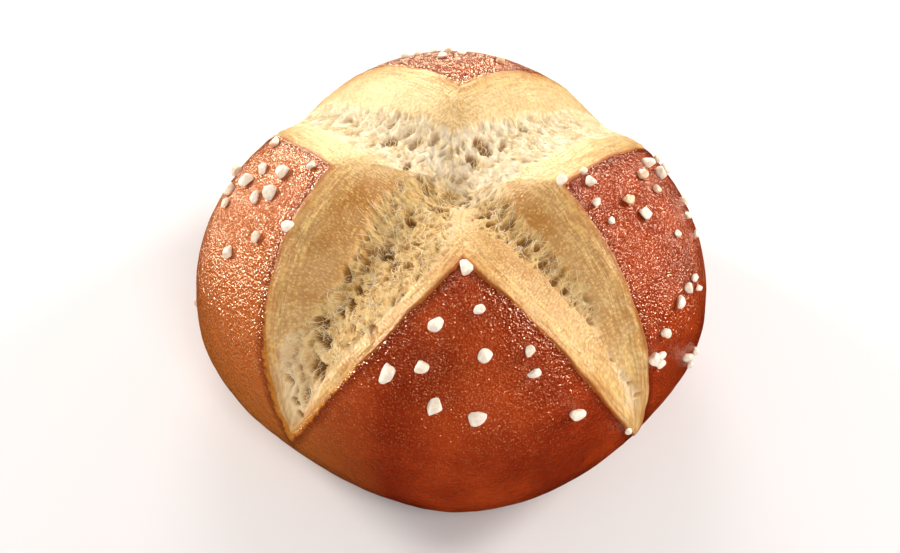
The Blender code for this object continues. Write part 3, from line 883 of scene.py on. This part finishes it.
def crumbShape(arc, azimuth):
    places = onDome(arc, azimuth)
    shape = crossShape(arc, places)
    edge = shape["edge"]
    flat = np.stack([arc * np.cos(azimuth), arc * np.sin(azimuth)], -1)
    armPlace = np.stack([shape["along"], shape["aside"]], -1)
    armPlace[:, 0] += shape["arm"] * 0.5  # each arm has its own pattern
    torn = tornShare(arc, shape, places)
    tornIn = torn * smoothStep(edge, 0.2 * mm, 1.4 * mm)
    # the stretched skin: soft folds, streaks that run along the lip, and fine grain
    skin = crumb["fold"] * softNoise(places, 7 * mm, 41) + crumb["dimple"] * softNoise(places, 2.4 * mm, 42)
    wavy = edge + 0.5 * mm * softNoise(places, 3.5 * mm, 45)
    streak = softNoise(np.stack([wavy / (0.85 * mm), armPlace[:, 0] / (8 * mm)], -1), 1.0, 43)
    streak += 0.5 * softNoise(np.stack([wavy / (0.45 * mm), armPlace[:, 0] / (4 * mm)], -1), 1.0, 46)
    skin += crumb["streak"] * streak * smoothStep(edge, 5.5 * mm, 2.5 * mm)
    skin += crumb["grain"] * softNoise(places, 0.7 * mm, 44)
    # the torn crumb: lumps, ridged fibres drawn across the arm, and bubbles of several sizes
    sway = np.stack([softNoise(places, 3 * mm, 51), softNoise(places, 3 * mm, 52)], -1)
    bent = armPlace + 0.9 * mm * sway
    fibres = 1 - np.abs(softNoise(bent / (0.75, 3.0), 1 * mm, 53)) * 2
    fine = 1 - np.abs(softNoise(bent / (0.36, 1.4), 1 * mm, 54)) * 2
    rough = crumb["lump"] * softNoise(places, 4.2 * mm, 55) + crumb["knob"] * softNoise(places, 1.7 * mm, 56)
    rough += crumb["fibre"] * fibres + crumb["thread"] * fine
    for size, start in crumb["cells"]:  # thin walls between the cells of the crumb
        nearest, _ = bubbles(bent / (0.85, 1.2), size * mm, start)
        rough -= crumb["web"] * size / 2 * smoothStep(nearest, 0.62, 0.12)
    pores = np.zeros(len(arc))
    for size, deep, rare, start in crumb["pores"]:
        nearest, number = bubbles(bent / (0.8, 1.25), size * mm, start)
        width = 0.26 + 0.22 * np.clip(number, 0, 1)
        pit = smoothStep(nearest, width, width * 0.3) * (number > rare)
        pores = np.maximum(pores, deep * mm * pit)
    gaps = holeDepth(arc, shape, flat)
    pocket = np.maximum(pores * tornIn, gaps * smoothStep(edge, 0.3 * mm, 1.2 * mm))
    smooth = shape["depth"] + crumb["step"] * tornIn - rough * tornIn
    smooth -= skin * (1 - tornIn) * smoothStep(edge, -0.3 * mm, 0.8 * mm)
    smooth -= edgeLift(edge) + crumb["proud"] * smoothStep(edge, -0.12 * mm, 0.12 * mm)
    smooth += crumb["bury"] * np.clip(-edge - 0.1 * mm, 0, crumb["margin"])
    # how high the fibres stand, for painted light on their crests
    litCrest = smoothStep(0.6 * fibres + 0.4 * fine, -0.3, 0.9)
    return dict(depth=smooth + pocket, smooth=smooth, edge=edge, torn=torn, pocket=pocket, litCrest=litCrest,
                pale=paleAndLitShare(arc, shape), armPlace=armPlace - (0.5, 0) * shape["arm"][:, None],
                arm=shape["arm"])


def crumbGrid():
    shape = bmesh.new()
    squares = round(2 * crumb["reach"] / crumb["coarse"])
    bmesh.ops.create_grid(shape, x_segments=squares, y_segments=squares, size=crumb["reach"])
    bmesh.ops.rotate(shape, verts=shape.verts, cent=(0, 0, 0), matrix=Matrix.Rotation(crust["turn"], 3, "Z"))
    middles = np.array([face.calc_center_median()[:2] for face in shape.faces])
    arc, azimuth = np.hypot(*middles.T), np.arctan2(middles[:, 1], middles[:, 0])
    edge = crossShape(arc, onDome(arc, azimuth))["edge"]
    outside = [face for face, value in zip(shape.faces, edge) if value < -crumb["margin"]]
    bmesh.ops.delete(shape, geom=outside, context="FACES")
    islands = [face for face in shape.faces if all(edge.is_boundary for edge in face.edges)]
    bmesh.ops.delete(shape, geom=islands, context="FACES")
    bmesh.ops.subdivide_edges(shape, edges=shape.edges, cuts=crumb["cuts"], use_grid_fill=True)
    middles = np.array([face.calc_center_median()[:2] for face in shape.faces])
    arc, azimuth = np.hypot(*middles.T), np.arctan2(middles[:, 1], middles[:, 0])
    places = onDome(arc, azimuth)
    found = crossShape(arc, places)
    fine = (tornShare(arc, found, places) > 0.2) & (found["edge"] > 0) | (abs(found["edge"]) < 0.4 * mm)
    finer = {edge for face, wanted in zip(shape.faces, fine) if wanted for edge in face.edges}
    bmesh.ops.subdivide_edges(shape, edges=list(finer), cuts=1, use_grid_fill=True)
    return shape


def makeCrumb(material):
    shape = crumbGrid()
    flat = np.array([vertex.co[:2] for vertex in shape.verts])
    arc, azimuth = np.hypot(*flat.T), np.arctan2(flat[:, 1], flat[:, 0])
    surface = crumbShape(arc, azimuth)
    for vertex, point in zip(shape.verts, put(arc, azimuth, surface["depth"])):
        vertex.co = point
    rim = [edge for edge in shape.edges if edge.is_boundary]
    drawn = [item for item in bmesh.ops.extrude_edge_only(shape, edges=rim)["geom"]
             if isinstance(item, bmesh.types.BMVert)]
    bmesh.ops.pointmerge(shape, verts=drawn, merge_co=crumb["anchor"])
    bmesh.ops.recalc_face_normals(shape, faces=shape.faces)
    mesh = bpy.data.meshes.new("crumb")
    shape.to_mesh(mesh)
    shape.free()
    spare = len(mesh.vertices) - len(arc)
    for name, values in (("edgeMm", surface["edge"] / mm), ("torn", surface["torn"]),
                         ("pocket", np.clip(surface["pocket"] / (1.6 * mm), 0, 1)),
                         ("pale", surface["pale"]), ("litCrest", surface["litCrest"])):
        addAttribute(mesh, name, np.concatenate([values, np.zeros(spare)]))
    drawn = np.zeros((len(mesh.vertices), 3), np.float32)
    drawn[:len(arc), :2] = surface["armPlace"] / mm
    mesh.attributes.new("armPlace", "FLOAT_VECTOR", "POINT").data.foreach_set("vector", drawn.ravel())
    finishPiece(mesh, "crumb", material)


# strands
strands = dict(
    count=3800,
    tries=60000,
    reach=76 * mm,
    points=6,
    radius=(0.028 * mm, 0.075 * mm),
    long=(1.0 * mm, 3.2 * mm),
    stretched=1.8,  # a fifth of them are this many times longer
    spread=0.95,  # how far their directions stray from straight across the arm, in radians
    bow=0.13,
    lift=(0.02 * mm, 0.35 * mm),
    rooted=0.06 * mm,  # their ends are this far inside the crumb
)


def makeStrands(material, draw):
    arc = np.sqrt(draw.uniform(0, 1, strands["tries"])) * strands["reach"]
    azimuth = draw.uniform(-math.pi, math.pi, strands["tries"])
    surface = crumbShape(arc, azimuth)
    chance = smoothStep(surface["torn"], 0.5, 0.95) * smoothStep(surface["edge"], 0.8 * mm, 2 * mm)
    chance *= 1 - 0.6 * smoothStep(surface["pocket"], 0.2 * mm, 1 * mm)
    keep = np.flatnonzero(draw.uniform(0, 1, len(arc)) < chance)[:strands["count"]]
    count = len(keep)
    heading = np.radians([arm["heading"] for arm in arms])[surface["arm"][keep]]
    way = heading + math.pi / 2 + draw.normal(0, strands["spread"], count)
    long = draw.uniform(*strands["long"], count)
    long *= np.where(draw.uniform(0, 1, count) < 0.2, strands["stretched"], 1)
    bow = draw.normal(0, strands["bow"], count) * long
    lift = draw.uniform(*strands["lift"], count)
    wide = draw.uniform(*strands["radius"], count)
    startX, startY = arc[keep] * np.cos(azimuth[keep]), arc[keep] * np.sin(azimuth[keep])
    steps = np.linspace(0, 1, strands["points"])
    lines = []
    for step in steps:
        run, side = (step - 0.5) * long, math.sin(math.pi * step) * bow
        x = startX + run * np.cos(way) - side * np.sin(way)
        y = startY + run * np.sin(way) + side * np.cos(way)
        at, turn = np.hypot(x, y), np.arctan2(y, x)
        ground = crumbShape(at, turn)
        span = math.sin(math.pi * step)
        depth = (ground["depth"] + strands["rooted"]) * (1 - span) + (ground["smooth"] - lift) * span
        lines.append(put(at, turn, depth))
    lines = np.stack(lines, axis=1)
    curve = bpy.data.curves.new("strands", "CURVE")
    curve.dimensions = "3D"
    curve.bevel_depth = 1.0
    curve.bevel_resolution = 0
    curve.use_fill_caps = True
    for line, radius in zip(lines, wide):
        spline = curve.splines.new("POLY")
        spline.points.add(len(line) - 1)
        for point, place, step in zip(spline.points, line, steps):
            point.co = (*place, 1.0)
            point.radius = radius * (0.35 + 0.65 * math.sin(math.pi * step))
    holder = bpy.data.objects.new("strandLines", curve)
    bpy.context.scene.collection.objects.link(holder)
    mesh = bpy.data.meshes.new_from_object(holder.evaluated_get(bpy.context.evaluated_depsgraph_get()))
    bpy.data.objects.remove(holder)
    bpy.data.curves.remove(curve)
    mesh.name = "strands"
    mesh.materials.clear()
    finishPiece(mesh, "strands", material)


# make it all
makeCamera()
makeLights()
makeFloor()
print("camera, lights and floor made")

crustMesh, crustArc, crustAzimuth = ballShape(crust["squares"], crust["turn"])
depth, edge = crustDepth(crustArc, crustAzimuth)
writePoints(crustMesh, put(crustArc, crustAzimuth, depth))
probe = bmesh.new()
probe.from_mesh(crustMesh)
crustTree = BVHTree.FromBMesh(probe)
probe.free()
saltDraw = np.random.default_rng(5)
grains = saltPlaces(crustTree, saltDraw)
print("salt placed:", len(grains))

bare = readPoints(crustMesh)
for place, _, long, _, _, _ in grains:  # each grain lies in a dent of its own
    off = np.linalg.norm(bare - np.array(place), axis=1)
    depth += salt["dent"] * np.exp(-((off / (salt["dentWidth"] * long)) ** 2))
writePoints(crustMesh, put(crustArc, crustAzimuth, depth))
addAttribute(crustMesh, "edgeMm", edge / mm)
finishPiece(crustMesh, "crust", crustMaterial())
makeCrumb(crumbMaterial())
makeStrands(strandMaterial(), np.random.default_rng(8))
finishPiece(saltMesh(grains, saltDraw), "salt", saltMaterial())
